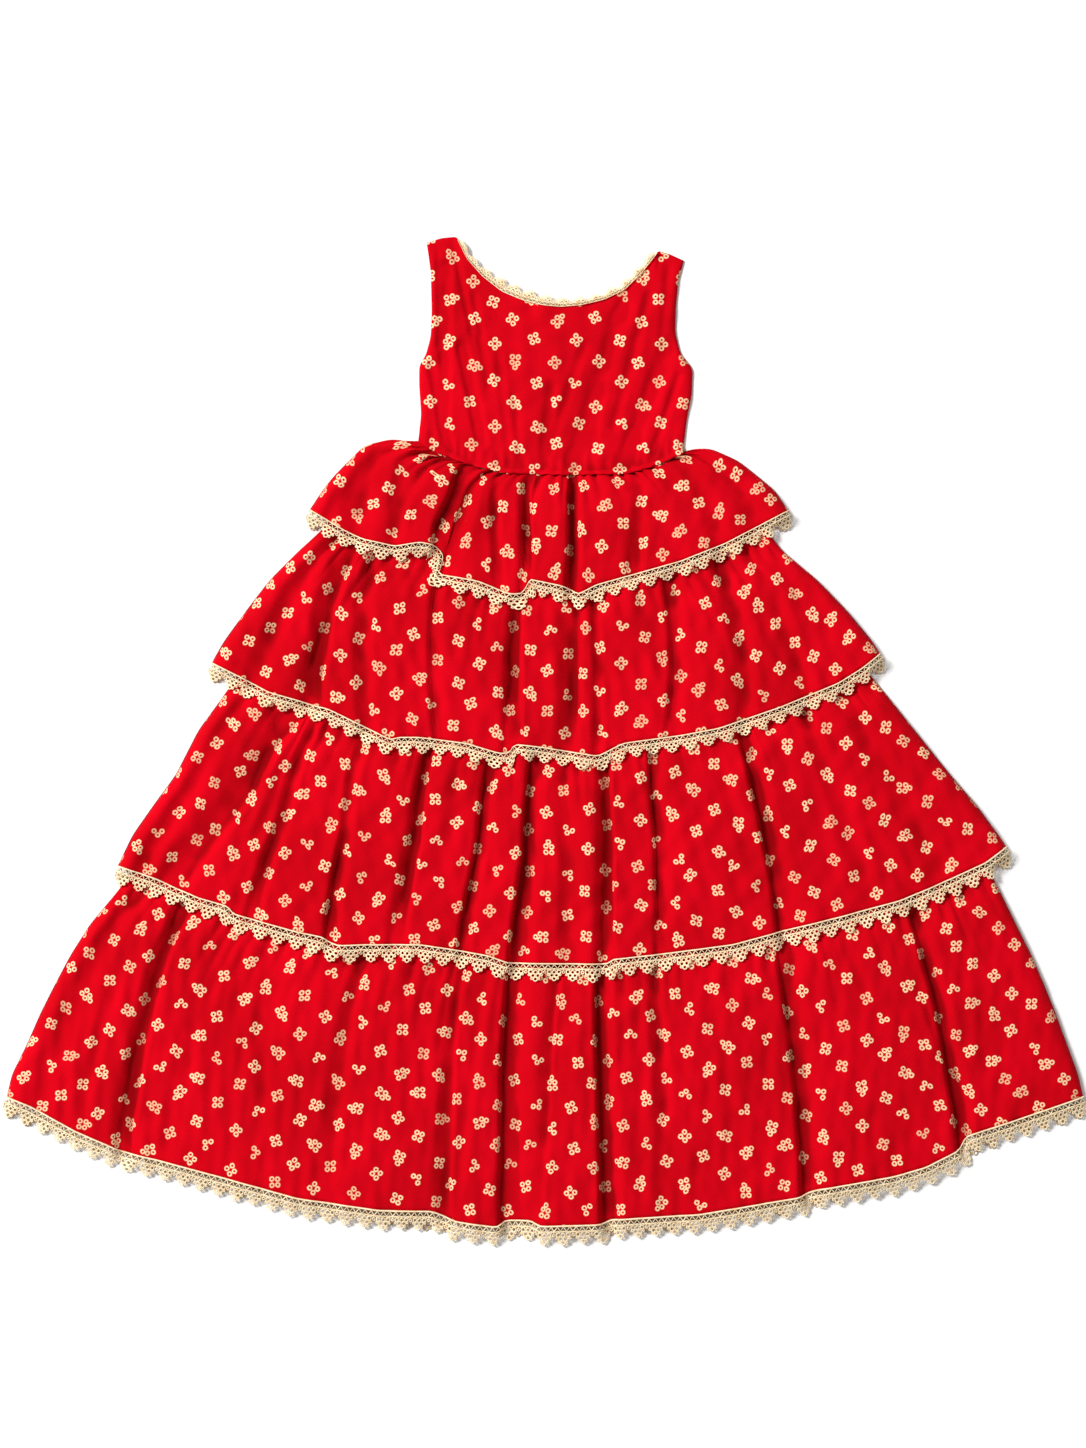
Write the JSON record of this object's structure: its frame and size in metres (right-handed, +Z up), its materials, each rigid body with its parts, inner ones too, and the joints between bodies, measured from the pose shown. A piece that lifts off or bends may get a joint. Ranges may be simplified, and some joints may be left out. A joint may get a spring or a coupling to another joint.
{
  "type": "child's tiered prairie dress, laid flat",
  "caption": "Sleeveless girl's dress in red flower-printed cotton, four gathered flounces edged with cream crochet lace, laid flat.",
  "frame": {"origin": "middle of the dress's bounding box, on the surface that it lies on", "axes": "+Z up off the surface, out of the dress's front; +Y from the hem towards the neck; +X to the right as seen from above, along the hem"},
  "size_m": [1.0892, 1.0102, 0.0163],
  "materials": {
    "red_cotton": "matte",
    "cream_lace": "matte"
  },
  "bodies": {
    "root": {"bodice_front": "red_cotton", "bodice_back": "red_cotton", "tier_1_front": "red_cotton", "tier_1_back": "red_cotton", "tier_2_front": "red_cotton", "tier_2_back": "red_cotton", "tier_3_front": "red_cotton", "tier_3_back": "red_cotton", "tier_4_front": "red_cotton", "tier_4_back": "red_cotton", "neck_lace_front": "cream_lace", "neck_lace_back": "cream_lace", "tier_1_lace_front": "cream_lace", "tier_1_lace_back": "cream_lace", "tier_2_lace_front": "cream_lace", "tier_2_lace_back": "cream_lace", "tier_3_lace_front": "cream_lace", "tier_3_lace_back": "cream_lace", "tier_4_lace_front": "cream_lace", "tier_4_lace_back": "cream_lace"}
  },
  "joints": []
}
